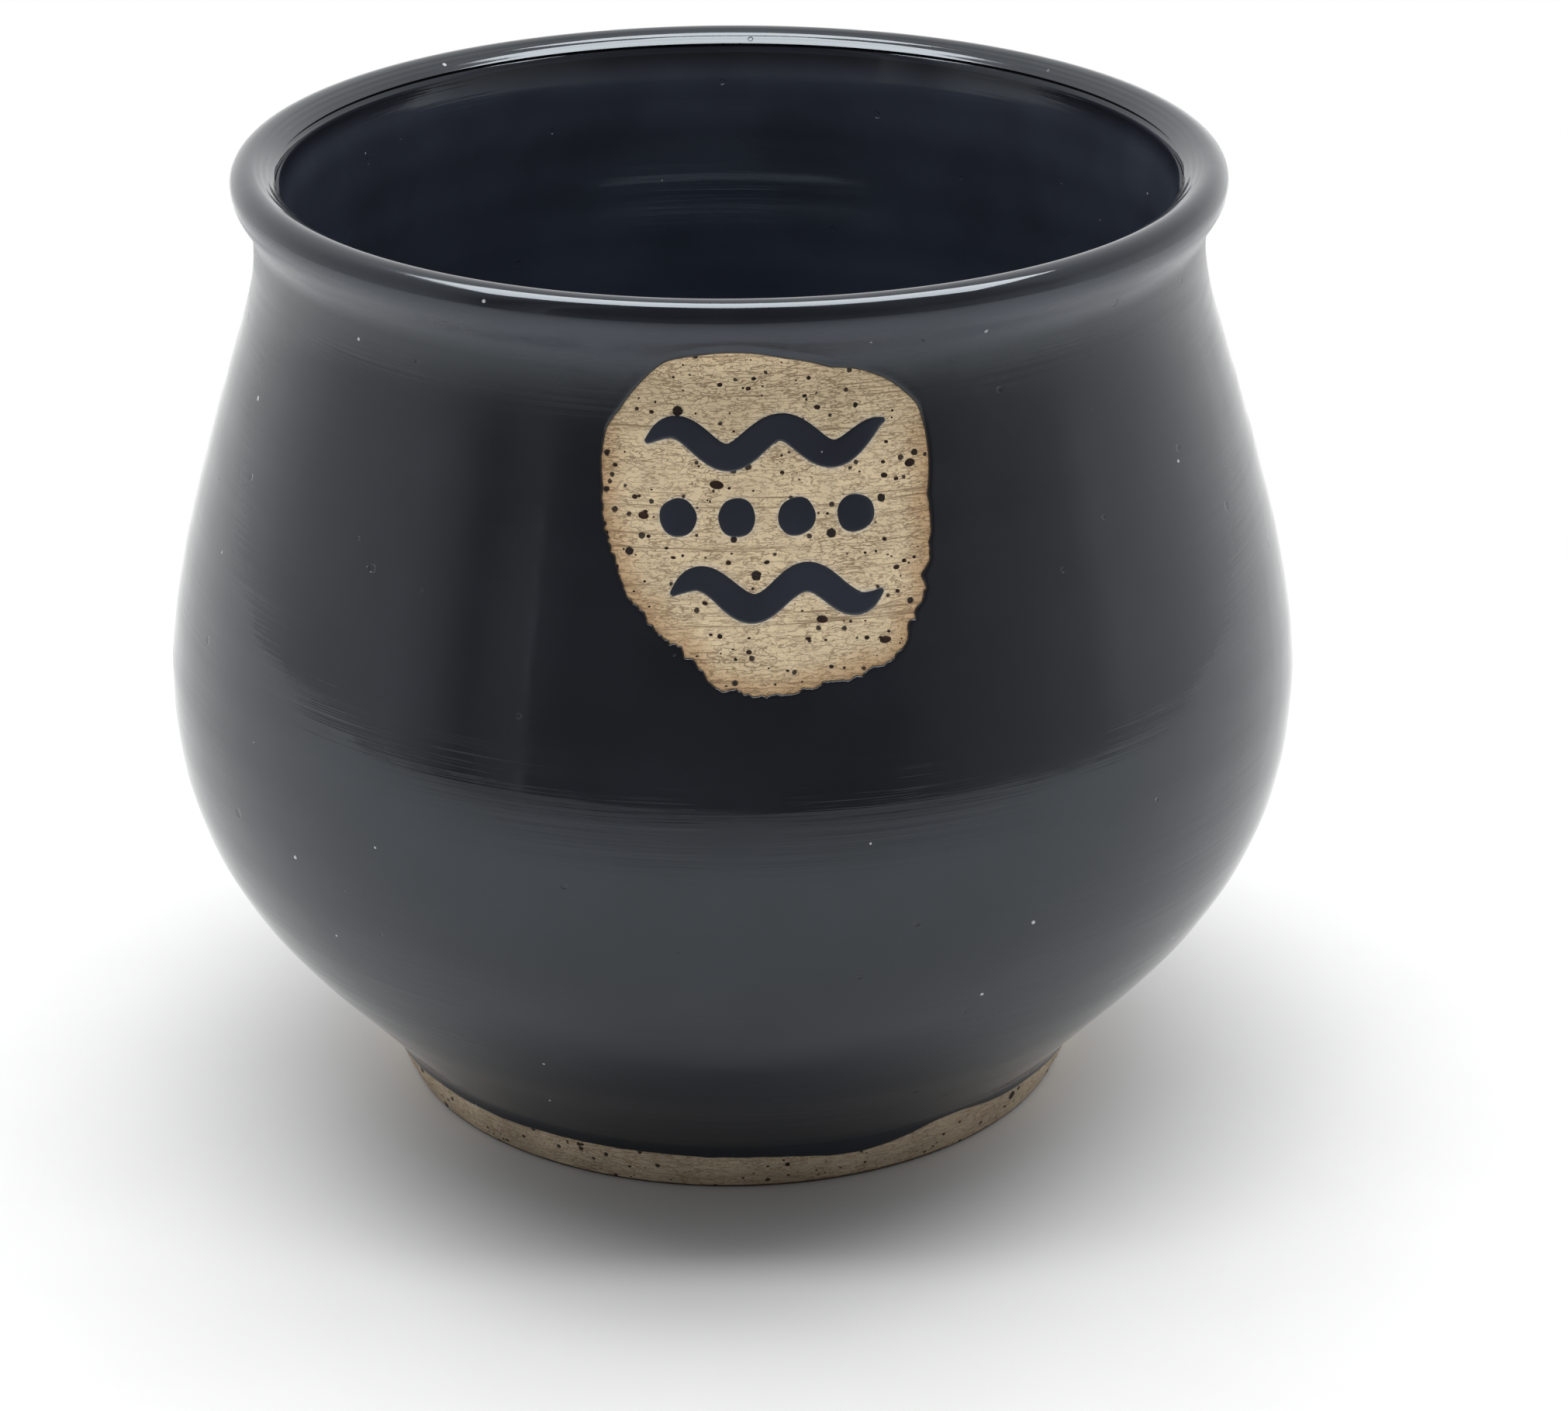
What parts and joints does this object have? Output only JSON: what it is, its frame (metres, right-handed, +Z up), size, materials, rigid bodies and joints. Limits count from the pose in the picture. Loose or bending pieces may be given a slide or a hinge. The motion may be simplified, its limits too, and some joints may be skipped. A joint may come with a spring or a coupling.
{
  "type": "pottery bowl",
  "caption": "Wheel-thrown round-bellied stoneware bowl with a drawn-in neck, rolled lip, trimmed foot ring and dark glaze around a bare clay window.",
  "frame": {"origin": "centre of the foot ring's underside, on the surface the bowl stands on", "axes": "+Z up along the bowl's turning axis, the bare window on the shoulder facing -Y"},
  "size_m": [0.1506, 0.1506, 0.1264],
  "materials": {
    "speckled_stoneware": "matte",
    "dark_glaze": "gloss"
  },
  "bodies": {
    "root": {"stoneware_body": "speckled_stoneware", "glaze_coat": "dark_glaze", "glaze_wave_upper": "dark_glaze", "glaze_wave_lower": "dark_glaze", "glaze_dot_1": "dark_glaze", "glaze_dot_2": "dark_glaze", "glaze_dot_3": "dark_glaze", "glaze_dot_4": "dark_glaze"}
  },
  "joints": []
}
